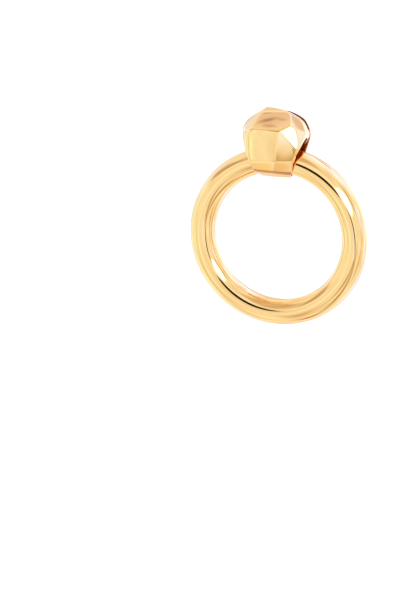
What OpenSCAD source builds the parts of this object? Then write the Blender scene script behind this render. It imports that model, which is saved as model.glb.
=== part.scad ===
// Hoop and nugget earring.
// A thick round hoop hangs through a hollow faceted knob, which an ear post carries behind.
// +X is to the right as seen from the front, -Y is the front and +Z is up.
// The origin is the ear seat: the point of the knob's rear face where the post stands out.

/* [Hoop] */
// Outer diameter of the hoop
hoop_d = 42; // [38:1:46]
// Thickness of the hoop's round section
tube_d = 6; // [5:0.1:6.2]

/* [Knob] */
// Height of the knob's middle above the middle of the tube
knob_rise = 4.3; // [4:0.1:4.6]
// How far the knob's middle stands in front of the hoop's plane
knob_forward = 1.2; // [1:0.1:1.4]
// Thickness of the knob's wall
wall = 1.3; // [1:0.1:1.5]
// Distance from the knob's middle down to its underside
knob_drop = 8.4; // [8.2:0.1:8.8]

/* [Tunnel] */
// Clearance between the tube and the front side of the tunnel
front_gap = 1.2; // [0.8:0.1:1.3]
// Clearance between the tube and the rear side of the tunnel
back_gap = 0.5; // [0.4:0.05:0.6]
// Clearance between the tube and the floor of the tunnel
floor_gap = 0.3; // [0.2:0.05:0.35]
// Free height of the slot above the tube
slot_rise = 3.2; // [2.5:0.1:3.5]
// Height above the middle of the tube at which the slot's lower round end has its middle
slot_start = 1.4; // [1.2:0.1:1.8]

/* [Back plate] */
// Thickness of the plate
plate_t = 0.9; // [0.7:0.1:1.2]
// Width of the dark seam between the plate and the knob
seam = 0.1; // [0.05:0.05:0.2]
// How far the plate's rim stands out past the knob's rear edge
plate_rim = 0.35; // [0.2:0.05:0.5]

/* [Ear post] */
// Diameter of the post
post_d = 0.9; // [0.7:0.05:1.1]
// Length of the post
post_l = 10.5; // [9:0.5:12]
// Height of the post above the knob's middle
post_rise = 2.2; // [1:0.1:3]

/* [Hidden] */

gold = [0.93, 0.74, 0.47];
pale_gold = [0.96, 0.80, 0.55];

// Radii of the hoop, to the middle of its tube, and of the tube itself
tube_r = tube_d / 2;
hoop_r = hoop_d / 2 - tube_r;

// The tunnel's half width, and how far its middle lies in front of the hoop's plane
tunnel_r = tube_r + (front_gap + back_gap) / 2;
tunnel_forward = (front_gap - back_gap) / 2;

// The groove that follows the tube leaves the same room before and behind it
groove_r = tube_r + back_gap;

// The radii, from the middle of the hoop, of the middles of the groove and of the slot's two round ends
groove_low = hoop_r - tube_r - floor_gap + groove_r;
slot_low = hoop_r + slot_start;
slot_high = hoop_r + tube_r + slot_rise - tunnel_r;

// The knob's middle in the hoop's own frame, whose origin is the middle of the hoop
knob_y = -knob_forward;
knob_z = hoop_r + knob_rise;

// The knob ends at this depth behind, just past the tunnel, and the plate lies behind that
knob_back = tube_r + back_gap;
plate_front = knob_back + seam;
seat_y = plate_front + plate_t;
seat_z = knob_z + post_rise;

// The size of the block that the facets are cut from, and of each cutter
block = 24;

// The post's root stands this far off the plate
post_seat_gap = 0.05;

// The knob's facets: which way each one faces and how far it lies from the knob's middle.
// TURN counts from the front towards the right, TILT upwards, both in degrees; REACH is in mm.
TURN = 0;
TILT = 1;
REACH = 2;
facets = [
    // The front, in two flats, and the band below each of them
    [0, -3, 5.1],
    [11, -4, 5.2],
    [2, -26, 5.85],
    [11, -28, 5.9],
    [2, -58, 7.02],
    // The bright pair at the upper right
    [31, 12, 6.2],
    [54, 14, 6.9],
    // The top
    [0, 54, 6.3],
    [-6, 71, 7.2],
    [157, 70, 7.4],
    [70, 40, 7],
    [-47, 52, 7.4],
    // The right side, down along the slot
    [70, -17, 6.45],
    [90, -18, 6],
    [110, -17, 6.8],
    [112, 20, 7.3],
    [130, 56, 7.2],
    // The left side, in many small steps, which makes it round
    [-40, 0, 7],
    [-58, 28, 7.9],
    [-74, 3, 8.35],
    [-70, -12, 7.5],
    [-64, -32, 7.9],
    [-84, 33, 8.45],
    [-102, 59, 7.9],
    [-105, -18, 6.5],
    // The slope behind the top, and the underside
    [180, 48, 7.4],
    [0, -90, knob_drop]
];

// All that lies farther out than one facet
module beyond(facet, inset) {
    rotate([-facet[TILT], 0, facet[TURN]])
        translate([-block, inset - facet[REACH] - block, -block])
            cube([2 * block, block, 2 * block]);
}

// The faceted form about the knob's middle, with every facet moved in by the inset
module nugget(inset) {
    translate([0, knob_y, knob_z])
        difference() {
            translate([-block / 2, -block / 2, -block / 2])
                cube(block);
            for (facet = facets)
                beyond(facet, inset);
        }
}

// A slab across the knob between two depths, from its underside up
module slab(front, back) {
    translate([-block / 2, front, knob_z - knob_drop])
        cube([block, back - front, block]);
}

// The way of the tube through the knob, turned about the hoop's axis: a round groove that the tube lies in,
// and above it a slot with round ends, which is wider than the tube in front
module tunnel() {
    rotate([90, 0, 0])
        rotate_extrude($fn = 120) {
            translate([groove_low, 0])
                circle(r = groove_r, $fn = 48);
            translate([groove_low, -groove_r])
                square([slot_high - groove_low, 2 * groove_r]);
            translate([slot_low, tunnel_forward])
                circle(r = tunnel_r, $fn = 48);
            translate([slot_low, tunnel_forward - tunnel_r])
                square([slot_high - slot_low, 2 * tunnel_r]);
            translate([slot_high, tunnel_forward])
                circle(r = tunnel_r, $fn = 48);
        }
}

// Moves a piece from the hoop's frame to the ear seat's
module at_seat() {
    translate([0, -seat_y, -seat_z])
        children();
}

module hoop() {
    color(gold)
        at_seat()
            rotate([90, 0, 0])
                rotate_extrude($fn = 120)
                    translate([hoop_r, 0])
                        circle(r = tube_r, $fn = 48);
}

module knob() {
    color(pale_gold)
        at_seat()
            difference() {
                intersection() {
                    nugget(0);
                    slab(-block / 2, knob_back);
                }
                nugget(wall);
                tunnel();
            }
}

module back_plate() {
    color(gold)
        at_seat()
            intersection() {
                nugget(-plate_rim);
                slab(plate_front, seat_y);
            }
}

module ear_post() {
    color(gold)
        translate([0, post_seat_gap, 0])
            rotate([-90, 0, 0]) {
                cylinder(d = post_d, h = post_l - post_d / 2, $fn = 32);
                translate([0, 0, post_l - post_d / 2])
                    sphere(d = post_d, $fn = 32);
            }
}

hoop();
knob();
back_plate();
ear_post();
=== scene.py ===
import math

import bpy
import numpy as np
from mathutils import Matrix, Vector


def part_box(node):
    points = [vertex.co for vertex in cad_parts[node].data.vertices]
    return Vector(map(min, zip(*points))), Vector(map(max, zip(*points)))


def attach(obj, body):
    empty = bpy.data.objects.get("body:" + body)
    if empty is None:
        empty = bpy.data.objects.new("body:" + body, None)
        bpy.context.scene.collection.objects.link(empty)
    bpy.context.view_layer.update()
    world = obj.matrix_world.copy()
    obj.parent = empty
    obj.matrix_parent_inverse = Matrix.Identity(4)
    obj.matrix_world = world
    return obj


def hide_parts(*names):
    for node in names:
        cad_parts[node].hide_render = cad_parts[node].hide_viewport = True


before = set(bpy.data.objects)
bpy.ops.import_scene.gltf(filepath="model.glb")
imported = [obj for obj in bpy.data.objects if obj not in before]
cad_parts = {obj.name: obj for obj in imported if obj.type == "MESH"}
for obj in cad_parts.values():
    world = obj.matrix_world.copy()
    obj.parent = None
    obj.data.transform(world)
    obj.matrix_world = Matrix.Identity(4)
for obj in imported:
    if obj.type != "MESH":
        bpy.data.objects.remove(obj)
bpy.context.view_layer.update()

# All sizes are in metres. MM turns those that are written in millimetres into metres.
MM = 0.001

# The hoop, measured on its solid
hoop_low, hoop_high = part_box("hoop")
hoop_centre = (hoop_low + hoop_high) / 2
tube_radius = (hoop_high.y - hoop_low.y) / 2
hoop_radius = (hoop_high.x - hoop_low.x) / 2 - tube_radius

# The ear post, measured on its solid, and the grip groove near its tip
post_low, post_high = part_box("ear_post")
post_radius = (post_high.x - post_low.x) / 2
post_length = post_high.y - post_low.y
post_root = Vector((0, post_low.y, (post_low.z + post_high.z) / 2))
GRIP_FROM_TIP = 2.2 * MM
GRIP_HALF = 0.45 * MM
GRIP_DEPTH = 0.07 * MM

# The knob and its back plate, measured on their solids. The knob's middle, wall and tunnel repeat the
# source's values, with a floor that lies a little nearer to the tube.
knob_low, knob_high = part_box("knob")
plate_low, plate_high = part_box("back_plate")
KNOB_DROP = 8.4 * MM
KNOB_FORWARD = 1.2 * MM
knob_middle = Vector((0, hoop_centre.y - KNOB_FORWARD, knob_low.z + KNOB_DROP))
knob_back = knob_high.y
WALL = 1.3 * MM
FRONT_GAP = 1.2 * MM
BACK_GAP = 0.5 * MM
FLOOR_GAP = 0.2 * MM
SLOT_RISE = 3.2 * MM
SLOT_START = 1.4 * MM

# How far the plate's rim stands out past the knob, at the right and at the left
PLATE_RIM = 0.6 * MM
PLATE_RIM_LEFT = 0.15 * MM

# The step in the knob's rear edge, which leaves a seam in front of the plate, darkened further by painted
# shade. The step grows from nothing to its full size between two heights above the knob's middle, and
# from left to right between two places across its top.
SEAM_WIDTH = 0.65 * MM
SEAM_DEPTH = 0.4 * MM
SEAM_HEIGHTS = (1.5 * MM, 2.4 * MM)
SEAM_SIDES = (-4 * MM, 0.5 * MM)

# Facets of the knob: turn to the right and tilt up, in degrees, and reach from the middle in mm.
# The front has two flats with a band below each, and the lip slopes in under the bands.
FRONT_LEFT = ((0, -3, 5.1),)
FRONT_RIGHT = ((11, -4, 5.2),)
BANDS = (
    (2, -26, 5.85),
    (11, -28, 5.9),
)
LIP = ((2, -58, 7.12),)

# Crisp facets meet their neighbours at a clear edge: the bright pair at the upper right, the top,
# the right side along the slot, and the underside.
CRISP = (
    (31, 12, 6.2),
    (54, 14, 6.9),
    (0, 54, 6.3),
    (-6, 71, 7.1),
    (70, -17, 6.45),
    (90, -18, 6.0),
    (110, -17, 6.8),
    (0, -90, 8.5),
)

# Soft facets run into each other in a round. The right group takes in the slope behind the top.
SOFT_RIGHT = (
    (157, 70, 7.6),
    (70, 40, 7.2),
    (112, 20, 7.5),
    (130, 56, 7.4),
    (180, 48, 7.6),
)
SOFT_LEFT = (
    (-47, 52, 7.5),
    (-40, 0, 7.52),
    (-58, 28, 8.42),
    (-74, 3, 8.87),
    (-84, 33, 8.97),
    (-102, 59, 8.42),
    (-70, -12, 7.75),
    (-64, -32, 8.15),
    (-105, -18, 6.75),
)

# How tightly shapes meet: the higher the value, the finer the rounded edge between them
CRISP_EDGE = 26 / MM
FLAT_EDGE = 60 / MM
SOFT_EDGE = 3.2 / MM
FRONT_EDGE = 5 / MM
LIP_EDGE = 9 / MM
RIM_EDGE = 7 / MM
GROOVE_EDGE = 20 / MM

# Every facet is part of a sphere of this radius, and a groove of this radius runs above the lip.
FACET_DOME = 60 * MM
LIP_GROOVE = 0.13 * MM

# Where the polish ends and painted shade lies. Each pair is a distance at which the painted shade starts
# and one at which it is full:
# under the facets, behind the knob's step, from the groove, behind the plate's front for the seam and
# for the slot, in from the plate's rim, and above the knob's middle for the painted shade beside the
# slot.
# The last value is how strong the plate's painted shade is there.
UNDER_FACETS = (0.04 * MM, 0.14 * MM)
BEHIND_STEP = (0.0, 0.1 * MM)
FROM_GROOVE = (0.2 * MM, 0.14 * MM)
PLATE_BY_SEAM = (0.3 * MM, 0.15 * MM)
PLATE_BY_SLOT = (0.7 * MM, 0.5 * MM)
IN_FROM_RIM = (0.09 * MM, 0.15 * MM)
SLOT_HEIGHTS = (0.6 * MM, 0.1 * MM)
PLATE_SLOT_SHADE = 1.6

# How fine the swept and turned meshes are
HOOP_STEPS = 400
TUBE_STEPS = 96
LATHE_STEPS = 64
GRIP_STEPS = 8
TIP_STEPS = 9
SHARP_ANGLE = 50

# The grids that the knob and plate are meshed on. The cells before a shape are no whole number, so
# that none of the grid's planes lies on a flat face. Each vertex takes a few steps to the surface and
# stays within its reach, in cells, of where it began. A slope is measured over a short step, and counts
# as the least one where it is smaller.
KNOB_GRID = 0.14 * MM
PLATE_GRID = 0.11 * MM
CELLS_BEFORE = 2.37
CELLS_AFTER = 2
SETTLE_STEPS = 6
SETTLE_REACH = 0.75
LEAST_SLOPE = 0.3
SLOPE_STEP = 0.004 * MM

# The gold. A clear coat lies over it. The slot is dull, with painted shade and a painted reddish glow;
# the seam carries almost black painted shade, and the groove above the lip amber painted shade.
POLISHED = (1.0, 0.71, 0.3)
POLISHED_DEEP = (1.0, 0.68, 0.26)
SLOT_PAINTED_SHADE = (0.95, 0.27, 0.012)
SEAM_PAINTED_SHADE = (0.1, 0.035, 0.005)
GROOVE_PAINTED_SHADE = (0.58, 0.21, 0.0)
COAT_IOR = 1.65
SLOT_ROUGHNESS = 0.3

# How rough each polished surface is, how far the haze takes it below and above that, and the part of
# the haze's pattern over which it does so. POLISH is the hoop's and the knob's.
POLISH = 0.05
PLATE_POLISH = 0.10
POST_POLISH = 0.14
HAZE_SPREAD = (0.7, 1.4)
HAZE_RANGE = (0.3, 0.7)

# The gold's patterns: scale, detail, and how each is squeezed along the three axes
DRIFT = (180, 3, (1, 1, 1))
HAZE = (900, 5, (1, 1, 6))
MARKS = (5200, 3, (1, 1, 5))
WAVES = (240, 1, (1, 1, 1))
MARKS_STRENGTH = 0.04
MARKS_HEIGHT = 0.01 * MM
WAVES_HEIGHT = 0.01 * MM

# The camera: its direction seen from the hoop, and where the hoop's middle lies in the picture
CAMERA_TURN = 16.0
CAMERA_TILT = 15.5
LENS = 400.0
SENSOR = 36.0
CLIP = (0.01, 50)
PICTURE = (400, 600)
HOOP_PIXEL = (279.0, 235.3)
PIXELS_PER_METRE = 4376.0

# The pale floor lies this far under the hoop, and glows a little.
FLOOR_DROP = 90 * MM
FLOOR_HALF = 6.0
FLOOR_COLOUR = (0.9, 0.9, 0.9)
FLOOR_ROUGHNESS = 0.9
FLOOR_GLOW = 0.4

# Cards stand near the earring and draw the dark lines and the bright spots along its polish. Each
# has its turn to the right of and tilt above the camera, its roll, its distance from the middle of
# the hoop or the knob, its width and height, how soft its edge is, and its colour.
HOOP_CARDS = (
    ("dark_card", -18, -6, -6, 220 * MM, 134 * MM, 80 * MM, 0.25, (0.012, 0.008, 0.003)),
    ("dark_stick", 8.5, -23, 17, 105 * MM, 16 * MM, 56 * MM, 0.4, (0.05, 0.035, 0.02)),
    ("softbox", 20.5, 1, 27, 120 * MM, 107 * MM, 50 * MM, 0.25, (2.3, 2.4, 3.0)),
)
KNOB_CARDS = (
    ("high_card", 113, 40, 0, 40 * MM, 24 * MM, 13 * MM, 0.5, (0.82, 0.7, 0.72)),
)

# The studio round the earring, as soft patches of light and shade on a white surround. Each has a
# name, runs from one direction to another, both in degrees right of and above the camera, and has a
# width across, how soft its edge is from 0 to 1, and its colour. A later patch lies over earlier ones.
STUDIO = (
    ("backdrop", (120, 20), (180, 25), 80, 0.5, (1.5, 1.6, 1.9)),
    ("backdrop left", (-178, 10), (-118, 0), 60, 0.5, (1.0, 1.16, 1.3)),
    ("left wall", (-130, -20), (-60, -20), 60, 0.6, (1.0, 1.12, 1.1)),
    ("back wall", (158, 15), (178, 66), 44, 0.4, (0.88, 0.8, 0.82)),
    ("right wall", (60, 44), (140, 40), 50, 0.6, (1.1, 1.45, 2.7)),
    ("right low wall", (84, -14), (122, -10), 34, 0.5, (1.02, 1.18, 1.8)),
    ("back low", (116, -22), (146, -50), 34, 0.6, (1.05, 1.25, 1.9)),
    ("back left", (-120, 26), (-158, 22), 26, 0.6, (1.02, 1.22, 1.8)),
    ("left edge", (-160, -30), (-150, 35), 15, 0.6, (0.85, 0.8, 0.7)),
    ("ceiling", (-62, 34), (14, 40), 49, 0.4, (0.74, 0.58, 0.46)),
    ("ceiling tongue", (-100, 23), (-44, 18), 17, 0.5, (0.57, 0.46, 0.37)),
    ("overhead", (-98, 73), (-40, 77), 13, 0.4, (0.95, 0.86, 1.02)),
    ("overhead bar", (-76, 71), (-68, 76.5), 1.8, 0.6, (0.52, 0.42, 0.42)),
    ("overhead rim", (-66, 76.3), (-54, 78), 1.2, 0.6, (0.68, 0.58, 0.56)),
    ("overhead rail", (-68, 71), (-54, 73.5), 1.4, 0.6, (0.7, 0.56, 0.54)),
    ("overhead end", (-100, 74), (-90, 76), 3, 0.6, (0.45, 0.36, 0.33)),
    ("side window", (54, 0), (90, 6), 22, 0.5, (0.98, 1.15, 1.9)),
    ("front left", (-52, -31), (-34, -31), 16, 0.4, (0.94, 0.93, 0.92)),
    ("front edge", (-54, -24), (-58, -38), 13, 0.6, (1.02, 1.3, 1.3)),
    ("front right", (-12, -26), (-1, -34.5), 10.5, 0.6, (1.05, 1.28, 2.0)),
    ("front low", (-18, -42), (-10, -45), 9, 0.6, (0.7, 0.52, 0.35)),
    ("stand", (-2.2, -37), (-1.4, -41), 1.1, 0.5, (0.1, 0.08, 0.06)),
    ("softbox frame", (38, 34), (54, -6), 8, 0.5, (0.6, 0.44, 0.32)),
    ("side line", (60, -8), (60, -55), 6, 0.6, (0.7, 0.55, 0.4)),
    ("table edge left", (18, -34), (-34, -52), 9, 0.6, (0.6, 0.46, 0.3)),
    ("table edge right", (16, -34), (126, -80), 12, 0.6, (0.62, 0.48, 0.3)),
    ("table fold", (-34, -40), (-38, -64), 9, 0.7, (0.75, 0.62, 0.48)),
    ("left fold", (-62, -50), (-92, -25), 8, 0.7, (0.8, 0.7, 0.5)),
    ("under lip", (160, -30), (-165, -38), 30, 0.5, (0.98, 0.88, 0.72)),
    ("under left", (-104, -66), (-98, -72), 9, 0.5, (0.98, 0.88, 0.66)),
    ("under right", (-96, -78), (-130, -88), 10, 0.5, (0.94, 0.8, 0.64)),
    ("under line", (-172, -74), (140, -80), 11, 0.5, (0.5, 0.24, 0.07)),
)
SURROUND = (1.02, 1.02, 1.04)
BACKDROP = (1.1, 1.1, 1.1)

# Directions beside and behind a patch count as this far ahead of it, so that nothing is divided by 0.
LEAST_AHEAD = 0.001

# Faint clouds over the whole studio: their pattern, and the tones that multiply what lies behind
CLOUD_SCALE = 2.6
CLOUD_DETAIL = 4
CLOUD_RANGE = (0.34, 0.66)
CLOUD_SHADE = (0.88, 0.78, 0.68)
CLOUD_LIGHT = (1.08, 1.12, 1.16)


def facing(turn, tilt):
    """The unit vector that a facet or camera faces: turn to the right of the front, tilt upwards."""
    turn, tilt = math.radians(turn), math.radians(tilt)
    return np.array((
        math.sin(turn) * math.cos(tilt),
        -math.cos(turn) * math.cos(tilt),
        math.sin(tilt),
    ))


def ramp(values, start, full):
    """0 before the start, 1 past the full value, and an even change between the two."""
    return np.clip((values - start) / (full - start), 0, 1)


def soft_max(values, sharpness):
    """The largest of several distances, with the edge between them rounded off."""
    top = np.maximum.reduce(values)
    return top + np.log(sum(np.exp(sharpness * (v - top)) for v in values)) / sharpness


def facet_distances(points, facets):
    """How far points lie outside each facet, which polishing has left very slightly domed."""
    from_middle = points - np.array(knob_middle)
    distances = []
    for turn, tilt, reach in facets:
        dome_middle = facing(turn, tilt) * (reach * MM - FACET_DOME)
        distances.append(np.linalg.norm(from_middle - dome_middle, axis=-1) - FACET_DOME)
    return distances


def nugget(points, inset=0.0):
    """How far points lie outside the faceted knob, with its facets moved in by the inset."""
    left = soft_max(facet_distances(points, SOFT_LEFT), SOFT_EDGE)
    right = soft_max(facet_distances(points, SOFT_RIGHT), SOFT_EDGE)
    left = soft_max([left, *facet_distances(points, FRONT_LEFT)], FRONT_EDGE)
    front = soft_max([left, *facet_distances(points, FRONT_RIGHT)], FLAT_EDGE)
    bands = soft_max(facet_distances(points, BANDS), FLAT_EDGE)
    above = soft_max([*facet_distances(points, CRISP), front, bands, right], CRISP_EDGE)
    return soft_max([above, *facet_distances(points, LIP)], LIP_EDGE) + inset


def lip_groove(points):
    """How far points lie outside the fine groove between the front's lower bands and the lip."""
    bands = np.maximum.reduce(facet_distances(points, BANDS))
    return np.hypot(bands, facet_distances(points, LIP)[0]) - LIP_GROOVE


def tunnel(points):
    """How far points lie outside the hoop's way through the knob: a round groove and a slot above it."""
    across = points[..., 1] - hoop_centre.y
    radius = np.hypot(points[..., 0] - hoop_centre.x, points[..., 2] - hoop_centre.z)
    half_width = tube_radius + (FRONT_GAP + BACK_GAP) / 2
    forward = (FRONT_GAP - BACK_GAP) / 2
    low = hoop_radius + SLOT_START
    high = hoop_radius + tube_radius + SLOT_RISE - half_width
    slot = np.hypot(radius - np.clip(radius, low, high), across + forward) - half_width
    groove_radius = tube_radius + BACK_GAP
    low = hoop_radius - tube_radius - FLOOR_GAP + groove_radius
    groove = np.hypot(radius - np.clip(radius, low, high), across) - groove_radius
    return np.minimum(groove, slot)


def right_share(points):
    """0 on the left of the knob's top and 1 on the right of it, with a smooth change between them."""
    share = ramp(points[..., 0], *SEAM_SIDES)
    return share * share * (3 - 2 * share)


def seam_share(points):
    """How much of the seam there is at a point: all at the knob's upper right, none low down or left."""
    return ramp(points[..., 2] - knob_middle.z, *SEAM_HEIGHTS) * right_share(points)


def knob_shape(points):
    """How far points lie outside the hollow knob's metal. A narrower neck lies behind its step."""
    outside = nugget(points)
    behind = points[..., 1] - knob_back
    share = seam_share(points)
    body = soft_max([outside, behind + SEAM_WIDTH * share], RIM_EDGE)
    neck = soft_max([outside + SEAM_DEPTH * share, behind], RIM_EDGE)
    knob = soft_max([np.minimum(body, neck), -outside - WALL, -tunnel(points)], RIM_EDGE)
    return soft_max([knob, -lip_groove(points)], GROOVE_EDGE)


def knob_painted_shade(points):
    """The knob's painted shade: 1 in its slot and hollow, 2 in its seam, -1 in its groove and 0 on its
    facets.
    """
    inside = ramp(-nugget(points), *UNDER_FACETS)
    behind_step = points[..., 1] - knob_back + SEAM_WIDTH * seam_share(points)
    in_groove = ramp(lip_groove(points), *FROM_GROOVE)
    return inside * (1 + ramp(behind_step, *BEHIND_STEP)) - in_groove * (1 - inside)


def plate_rim(points):
    """How far the plate's rim stands out past the knob's rear edge."""
    return PLATE_RIM_LEFT + (PLATE_RIM - PLATE_RIM_LEFT) * right_share(points)


def plate_shape(points):
    """How far points lie outside the back plate."""
    middle = (plate_low.y + plate_high.y) / 2
    half = (plate_high.y - plate_low.y) / 2
    return soft_max([
        nugget(points, -plate_rim(points)),
        np.abs(points[..., 1] - middle) - half,
        plate_low.z - points[..., 2],
    ], RIM_EDGE)


def plate_painted_shade(points):
    """The plate's painted shade: 2 on its front where it faces the seam, less beside the slot, 0 on its
    rim.
    """
    depth = points[..., 1] - plate_low.y
    height = points[..., 2] - knob_middle.z
    inward = plate_rim(points) - nugget(points)
    seam_painted_shade = ramp(depth, *PLATE_BY_SEAM) * ramp(inward, *IN_FROM_RIM) * seam_share(points)
    slot_painted_shade = ramp(depth, *PLATE_BY_SLOT) * ramp(height, *SLOT_HEIGHTS) * right_share(points)
    return np.maximum(2 * seam_painted_shade, PLATE_SLOT_SHADE * slot_painted_shade)


def slope(shape, points):
    """The direction in which a shape's distance grows fastest, at each point."""
    offsets = np.eye(3) * SLOPE_STEP
    return np.stack(
        [(shape(points + o) - shape(points - o)) / (2 * SLOPE_STEP) for o in offsets], axis=-1
    )


def corners_inside(shape, axes):
    """Whether each corner of a grid lies inside a shape, worked out one layer at a time."""
    layers = []
    for x in axes[0]:
        corners = np.stack(np.meshgrid([x], axes[1], axes[2], indexing="ij"), -1)
        layers.append(shape(corners)[0] < 0)
    return np.stack(layers)


def settle(shape, points, grid):
    """Moves points to where a shape's distance is zero, each within reach of where it began."""
    centres = points.copy()
    for _ in range(SETTLE_STEPS):
        normal = slope(shape, points)
        length = np.maximum(np.linalg.norm(normal, axis=1), LEAST_SLOPE)
        points = points - normal * (shape(points) / length ** 2)[:, None]
        points = np.clip(points, centres - SETTLE_REACH * grid, centres + SETTLE_REACH * grid)
    return points


def surface_quads(inside, number):
    """A quad for each grid edge that crosses the surface, from the numbers of the four cells round it."""
    quads = []
    for axis in range(3):
        first = np.moveaxis(inside, axis, 0)
        cells = np.moveaxis(number, axis, 0)
        start, end = first[:-1], first[1:]
        for leaving in (True, False):
            edge = (start & ~end) if leaving else (~start & end)
            i, j, k = np.nonzero(edge[:, 1:-1, 1:-1])
            ring = np.stack([
                cells[i, j, k],
                cells[i, j + 1, k],
                cells[i, j + 1, k + 1],
                cells[i, j, k + 1],
            ], axis=1)
            turned = leaving == (axis == 1)
            quads.append(ring[:, ::-1] if turned else ring)
    return np.concatenate(quads)


def surface_mesh(name, shape, painted_shade, low, high, grid):
    """A closed quad mesh where a shape's distance is zero: one vertex in each crossed cell of a grid."""
    low = np.array(low) - CELLS_BEFORE * grid
    counts = np.ceil((np.array(high) + CELLS_AFTER * grid - low) / grid).astype(int) + 1
    axes = [low[k] + grid * np.arange(counts[k]) for k in range(3)]
    inside = corners_inside(shape, axes)
    corners = sum(
        inside[i:counts[0] - 1 + i, j:counts[1] - 1 + j, k:counts[2] - 1 + k].astype(int)
        for i in (0, 1) for j in (0, 1) for k in (0, 1)
    )
    crossed = (corners > 0) & (corners < 8)
    number = np.full(crossed.shape, -1)
    number[crossed] = np.arange(crossed.sum())
    points = settle(shape, low + grid * (np.argwhere(crossed) + 0.5), grid)

    mesh = bpy.data.meshes.new(name)
    mesh.from_pydata(points.tolist(), [], surface_quads(inside, number).tolist())
    mesh.update()
    normals = slope(shape, points)
    normals /= np.linalg.norm(normals, axis=1)[:, None]
    mesh.shade_smooth()
    mesh.normals_split_custom_set_from_vertices(normals.tolist())
    mesh.attributes.new("painted_shade", "FLOAT", "POINT").data.foreach_set("value", painted_shade(points))
    return mesh


def add_piece(name, mesh, body, node, material):
    """Puts a finished mesh in the scene in place of a CAD node, on its body."""
    piece = bpy.data.objects.new(name, mesh)
    bpy.context.scene.collection.objects.link(piece)
    mesh.materials.append(material)
    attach(piece, body)
    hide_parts(node)


def hoop_mesh():
    """The round ring, swept in fine steps."""
    around = np.arange(HOOP_STEPS) * 2 * math.pi / HOOP_STEPS
    section = np.arange(TUBE_STEPS) * 2 * math.pi / TUBE_STEPS
    around, section = np.meshgrid(around, section, indexing="ij")
    radius = hoop_radius + tube_radius * np.cos(section)
    points = np.stack([
        hoop_centre.x + radius * np.sin(around),
        hoop_centre.y + tube_radius * np.sin(section),
        hoop_centre.z + radius * np.cos(around),
    ], axis=-1).reshape(-1, 3)
    quads = []
    for i in range(HOOP_STEPS):
        for j in range(TUBE_STEPS):
            onward = (i + 1) % HOOP_STEPS
            up = (j + 1) % TUBE_STEPS
            quads.append((
                i * TUBE_STEPS + j,
                onward * TUBE_STEPS + j,
                onward * TUBE_STEPS + up,
                i * TUBE_STEPS + up,
            ))
    mesh = bpy.data.meshes.new("hoop_ring")
    mesh.from_pydata(points.tolist(), [], quads)
    mesh.update()
    mesh.shade_smooth()
    return mesh


def lathe_mesh(name, profile, centre):
    """A solid turned about an axis along +Y from (distance, radius) pairs, closed at both ends."""
    points = []
    for along, radius in profile:
        for step in range(LATHE_STEPS):
            angle = 2 * math.pi * step / LATHE_STEPS
            points.append((
                centre.x + radius * math.cos(angle),
                centre.y + along,
                centre.z + radius * math.sin(angle),
            ))
    quads = []
    for ring in range(len(profile) - 1):
        root_side, tip_side = ring * LATHE_STEPS, (ring + 1) * LATHE_STEPS
        for step in range(LATHE_STEPS):
            onward = (step + 1) % LATHE_STEPS
            quads.append((root_side + step, tip_side + step, tip_side + onward, root_side + onward))
    quads.append(tuple(range(LATHE_STEPS)))
    last = (len(profile) - 1) * LATHE_STEPS
    quads.append(tuple(reversed(range(last, last + LATHE_STEPS))))
    mesh = bpy.data.meshes.new(name)
    mesh.from_pydata(points, [], quads)
    mesh.update()
    mesh.shade_smooth()
    mesh.set_sharp_from_angle(angle=math.radians(SHARP_ANGLE))
    return mesh


def post_profile(length, radius):
    """The ear post's outline: straight, with a grip groove near a rounded tip."""
    grip_at = length - GRIP_FROM_TIP
    profile = [(0.0, radius), (grip_at - GRIP_HALF, radius)]
    for step in range(1, GRIP_STEPS):
        share = 2 * step / GRIP_STEPS - 1
        depth = GRIP_DEPTH * math.cos(math.pi / 2 * share)
        profile.append((grip_at + GRIP_HALF * share, radius - depth))
    profile.append((grip_at + GRIP_HALF, radius))
    for step in range(TIP_STEPS):
        angle = math.pi / 2 * step / TIP_STEPS
        profile.append((length - radius + radius * math.sin(angle), radius * math.cos(angle)))
    return profile


def feed(tree, socket, value):
    """Links a socket to another node's output, or sets it to a plain number, vector or colour."""
    if isinstance(value, bpy.types.NodeSocket):
        tree.links.new(value, socket)
    elif socket.type == "RGBA":
        socket.default_value = (*value, 1)
    else:
        socket.default_value = value


def maths(tree, operation, first, second=0.0):
    """The result of a Math node on one or two values."""
    node = tree.nodes.new("ShaderNodeMath")
    node.operation = operation
    feed(tree, node.inputs[0], first)
    feed(tree, node.inputs[1], second)
    return node.outputs["Value"]


def blend(tree, factor, first, second):
    """The first colour where the factor is 0 or less, and the second where it is 1 or more."""
    node = tree.nodes.new("ShaderNodeMix")
    node.data_type = "RGBA"
    feed(tree, node.inputs["Factor"], factor)
    feed(tree, node.inputs["A"], first)
    feed(tree, node.inputs["B"], second)
    return node.outputs["Result"]


def stretched(tree, value, old, new=(0.0, 1.0), interpolation="LINEAR"):
    """A value moved from an old range, given by its two ends, to a new one, and kept inside that."""
    node = tree.nodes.new("ShaderNodeMapRange")
    node.interpolation_type = interpolation
    feed(tree, node.inputs["Value"], value)
    feed(tree, node.inputs["From Min"], old[0])
    feed(tree, node.inputs["From Max"], old[1])
    feed(tree, node.inputs["To Min"], new[0])
    feed(tree, node.inputs["To Max"], new[1])
    return node.outputs["Result"]


def noise(tree, place, scale, detail):
    """A noise pattern over a place."""
    texture = tree.nodes.new("ShaderNodeTexNoise")
    feed(tree, texture.inputs["Vector"], place)
    feed(tree, texture.inputs["Scale"], scale)
    feed(tree, texture.inputs["Detail"], detail)
    return texture.outputs["Fac"]


def grain(tree, place, scale, detail, squeeze):
    """A noise pattern that is squeezed along the three axes."""
    mapping = tree.nodes.new("ShaderNodeMapping")
    feed(tree, mapping.inputs["Vector"], place)
    feed(tree, mapping.inputs["Scale"], squeeze)
    return noise(tree, mapping.outputs["Vector"], scale, detail)


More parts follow.
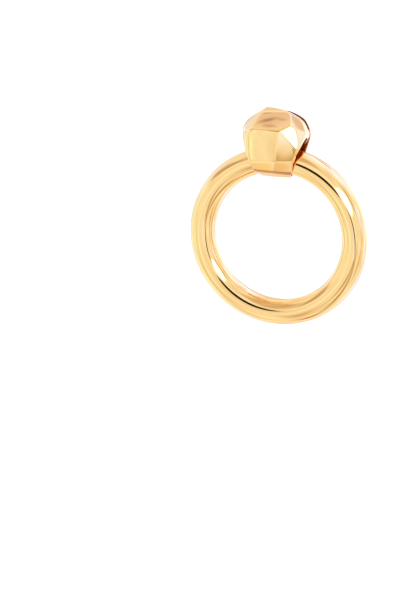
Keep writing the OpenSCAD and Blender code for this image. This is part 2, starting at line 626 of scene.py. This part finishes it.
def bump(tree, height, strength, distance):
    """A Bump node that lifts the surface by a pattern."""
    node = tree.nodes.new("ShaderNodeBump")
    feed(tree, node.inputs["Height"], height)
    feed(tree, node.inputs["Strength"], strength)
    feed(tree, node.inputs["Distance"], distance)
    return node


def gold_material(name, roughness, waves_height):
    """Mirror-polished gold plating: faint colour drift, fine polishing marks and slight waves, with
    painted shade blended into its colour in the slot, seam and groove.
    """
    material = bpy.data.materials.new(name)
    material.use_nodes = True
    tree = material.node_tree
    tree.nodes.clear()
    output = tree.nodes.new("ShaderNodeOutputMaterial")
    shader = tree.nodes.new("ShaderNodeBsdfPrincipled")
    shader.inputs["Metallic"].default_value = 1.0
    shader.inputs["Coat Weight"].default_value = 1.0
    shader.inputs["Coat Roughness"].default_value = roughness
    shader.inputs["Coat IOR"].default_value = COAT_IOR
    feed(tree, output.inputs["Surface"], shader.outputs["BSDF"])
    place = tree.nodes.new("ShaderNodeTexCoord").outputs["Object"]
    attribute = tree.nodes.new("ShaderNodeAttribute")
    attribute.attribute_name = "painted_shade"
    painted_shade = attribute.outputs["Fac"]

    colour = blend(tree, grain(tree, place, *DRIFT), POLISHED, POLISHED_DEEP)
    # Painted shade with a reddish glow in the slot and hollow, almost black painted shade in the seam,
    # amber painted shade in the groove
    colour = blend(tree, painted_shade, colour, SLOT_PAINTED_SHADE)
    colour = blend(tree, maths(tree, "SUBTRACT", painted_shade, 1.0), colour, SEAM_PAINTED_SHADE)
    colour = blend(tree, maths(tree, "MULTIPLY", painted_shade, -1.0), colour, GROOVE_PAINTED_SHADE)
    feed(tree, shader.inputs["Base Color"], colour)

    spread = [share * roughness for share in HAZE_SPREAD]
    hazy = stretched(tree, grain(tree, place, *HAZE), HAZE_RANGE, spread)
    blunt = tree.nodes.new("ShaderNodeMix")
    feed(tree, blunt.inputs["Factor"], painted_shade)
    feed(tree, blunt.inputs["A"], hazy)
    feed(tree, blunt.inputs["B"], SLOT_ROUGHNESS)
    feed(tree, shader.inputs["Roughness"], blunt.outputs["Result"])

    waves = bump(tree, grain(tree, place, *WAVES), 1.0, waves_height)
    marks = bump(tree, grain(tree, place, *MARKS), MARKS_STRENGTH, MARKS_HEIGHT)
    feed(tree, marks.inputs["Normal"], waves.outputs["Normal"])
    feed(tree, shader.inputs["Normal"], marks.outputs["Normal"])
    return material


def camera_axes():
    """The camera's right, up and back directions, seen from the hoop."""
    back = Vector(facing(CAMERA_TURN, CAMERA_TILT))
    right = Vector((0, 0, 1)).cross(back).normalized()
    return right, back.cross(right), back


def camera_direction(across, above):
    """The direction that lies so many degrees right of and above the camera, seen from the hoop."""
    right, up, back = camera_axes()
    across, above = math.radians(across), math.radians(above)
    level = right * math.sin(across) + back * math.cos(across)
    return level * math.cos(above) + up * math.sin(above)


def add_camera():
    """The camera stands on the line on which the photograph sees the hoop and is panned to frame it."""
    right, up, back = camera_axes()
    distance = PICTURE[1] / PIXELS_PER_METRE * LENS / SENSOR
    aim = (
        hoop_centre
        - right * (HOOP_PIXEL[0] - PICTURE[0] / 2) / PIXELS_PER_METRE
        - up * (PICTURE[1] / 2 - HOOP_PIXEL[1]) / PIXELS_PER_METRE
    )
    data = bpy.data.cameras.new("camera")
    data.lens = LENS
    data.sensor_width = SENSOR
    data.clip_start, data.clip_end = CLIP
    camera = bpy.data.objects.new("camera", data)
    camera.location = hoop_centre + back * distance
    facing_hoop = Matrix((right, up, back)).transposed().to_quaternion()
    pan = back.rotation_difference(camera.location - aim)
    camera.rotation_euler = (pan @ facing_hoop).to_euler()
    bpy.context.scene.collection.objects.link(camera)
    bpy.context.scene.camera = camera


def along(tree, direction, vector):
    """How far a direction runs along a vector."""
    node = tree.nodes.new("ShaderNodeVectorMath")
    node.operation = "DOT_PRODUCT"
    feed(tree, node.inputs[0], direction)
    feed(tree, node.inputs[1], vector)
    return node.outputs["Value"]


def patch_mask(tree, direction, start, end, width, softness):
    """1 inside an ellipse of directions that runs from start to end, and 0 outside it."""
    middle = (start + end).normalized()
    lengthways = (end - start).normalized()
    crossways = middle.cross(lengthways)
    half_width = math.tan(math.radians(width / 2))
    half_length = max(math.tan(start.angle(end) / 2), half_width)
    ahead = along(tree, direction, middle)
    safe = maths(tree, "MAXIMUM", ahead, LEAST_AHEAD)
    squares = []
    for axis, half in ((lengthways, half_length), (crossways, half_width)):
        level = maths(tree, "DIVIDE", along(tree, direction, axis), safe)
        share = maths(tree, "DIVIDE", level, half)
        squares.append(maths(tree, "MULTIPLY", share, share))
    reach = maths(tree, "SQRT", maths(tree, "ADD", *squares))
    shown = stretched(tree, reach, (1 + softness, 1 - softness), interpolation="SMOOTHSTEP")
    return maths(tree, "MULTIPLY", shown, maths(tree, "GREATER_THAN", ahead, 0.0))


def add_studio():
    """The white surround with its soft patches, seen in reflections. The camera sees plain white."""
    world = bpy.data.worlds.new("studio")
    bpy.context.scene.world = world
    world.use_nodes = True
    tree = world.node_tree
    tree.nodes.clear()
    direction = tree.nodes.new("ShaderNodeTexCoord").outputs["Generated"]

    colour = SURROUND
    for _, start, end, width, softness, tint in STUDIO:
        start, end = camera_direction(*start), camera_direction(*end)
        colour = blend(tree, patch_mask(tree, direction, start, end, width, softness), colour, tint)

    clouds = noise(tree, direction, CLOUD_SCALE, CLOUD_DETAIL)
    shade = blend(tree, stretched(tree, clouds, CLOUD_RANGE), CLOUD_SHADE, CLOUD_LIGHT)
    clouded = tree.nodes.new("ShaderNodeVectorMath")
    clouded.operation = "MULTIPLY"
    feed(tree, clouded.inputs[0], colour)
    feed(tree, clouded.inputs[1], shade)

    by_camera = tree.nodes.new("ShaderNodeLightPath").outputs["Is Camera Ray"]
    background = tree.nodes.new("ShaderNodeBackground")
    feed(tree, background.inputs["Color"], blend(tree, by_camera, clouded.outputs["Vector"], BACKDROP))
    output = tree.nodes.new("ShaderNodeOutputWorld")
    feed(tree, output.inputs["Surface"], background.outputs["Background"])


def flat_mesh(name, half_width, half_height, z=0.0):
    """One level rectangle about the origin, at a height."""
    mesh = bpy.data.meshes.new(name)
    corners = [
        (-half_width, -half_height, z),
        (half_width, -half_height, z),
        (half_width, half_height, z),
        (-half_width, half_height, z),
    ]
    mesh.from_pydata(corners, [], [(0, 1, 2, 3)])
    return mesh


def add_floor():
    """A plain pale floor far enough below the hoop to be clear of its swing."""
    mesh = flat_mesh("floor", FLOOR_HALF, FLOOR_HALF, hoop_low.z - FLOOR_DROP)
    floor = bpy.data.objects.new("floor", mesh)
    bpy.context.scene.collection.objects.link(floor)
    material = bpy.data.materials.new("pale_floor")
    material.use_nodes = True
    shader = material.node_tree.nodes["Principled BSDF"]
    shader.inputs["Base Color"].default_value = (*FLOOR_COLOUR, 1)
    shader.inputs["Roughness"].default_value = FLOOR_ROUGHNESS
    shader.inputs["Specular IOR Level"].default_value = 0.0
    shader.inputs["Emission Color"].default_value = (1, 1, 1, 1)
    shader.inputs["Emission Strength"].default_value = FLOOR_GLOW
    mesh.materials.append(material)
    floor.visible_glossy = False


def card_material(name, softness, colour):
    """Plain light or shade that fades to nothing at the edge of an ellipse."""
    material = bpy.data.materials.new(name)
    material.use_nodes = True
    tree = material.node_tree
    tree.nodes.clear()
    centred = tree.nodes.new("ShaderNodeMapping")
    feed(tree, centred.inputs["Vector"], tree.nodes.new("ShaderNodeTexCoord").outputs["Generated"])
    feed(tree, centred.inputs["Location"], (-1, -1, 0))
    feed(tree, centred.inputs["Scale"], (2, 2, 0))
    reach = tree.nodes.new("ShaderNodeVectorMath")
    reach.operation = "LENGTH"
    feed(tree, reach.inputs[0], centred.outputs["Vector"])
    fade = stretched(tree, reach.outputs["Value"], (1 - softness, 1), interpolation="SMOOTHSTEP")
    glow = tree.nodes.new("ShaderNodeEmission")
    feed(tree, glow.inputs["Color"], colour)
    mix = tree.nodes.new("ShaderNodeMixShader")
    feed(tree, mix.inputs["Fac"], fade)
    feed(tree, mix.inputs[1], glow.outputs["Emission"])
    feed(tree, mix.inputs[2], tree.nodes.new("ShaderNodeBsdfTransparent").outputs["BSDF"])
    output = tree.nodes.new("ShaderNodeOutputMaterial")
    feed(tree, output.inputs["Surface"], mix.outputs["Shader"])
    return material


def add_cards(cards, centre):
    """Cards about a centre, which show only in reflections."""
    for name, turn, tilt, roll, distance, width, height, softness, colour in cards:
        towards = camera_direction(turn, tilt)
        level = Vector((0, 0, 1)).cross(towards).normalized()
        sideways = Matrix.Rotation(math.radians(roll), 3, towards) @ level
        upwards = towards.cross(sideways)
        mesh = flat_mesh(name, width / 2, height / 2)
        mesh.materials.append(card_material(name, softness, colour))
        card = bpy.data.objects.new(name, mesh)
        turned = Matrix((sideways, upwards, towards)).transposed().to_4x4()
        card.matrix_world = Matrix.Translation(centre + towards * distance) @ turned
        bpy.context.scene.collection.objects.link(card)
        card.visible_camera = False
        card.visible_diffuse = False
        card.visible_shadow = False


bpy.context.scene.view_settings.view_transform = "Standard"
add_camera()
add_studio()
add_floor()
add_cards(HOOP_CARDS, hoop_centre)
add_cards(KNOB_CARDS, knob_middle)

hoop_gold = gold_material("hoop_gold", POLISH, WAVES_HEIGHT)
knob_gold = gold_material("knob_gold", POLISH, WAVES_HEIGHT)
plate_gold = gold_material("plate_gold", PLATE_POLISH, WAVES_HEIGHT)
post_gold = gold_material("post_gold", POST_POLISH, 0.0)

add_piece("hoop_ring", hoop_mesh(), "hoop", "hoop", hoop_gold)
add_piece(
    "nugget_knob",
    surface_mesh("nugget_knob", knob_shape, knob_painted_shade, knob_low, knob_high, KNOB_GRID),
    "top", "knob", knob_gold,
)
add_piece(
    "knob_back_plate",
    surface_mesh("knob_back_plate", plate_shape, plate_painted_shade, plate_low, plate_high, PLATE_GRID),
    "top", "back_plate", plate_gold,
)
add_piece(
    "straight_ear_post",
    lathe_mesh("straight_ear_post", post_profile(post_length, post_radius), post_root),
    "top", "ear_post", post_gold,
)
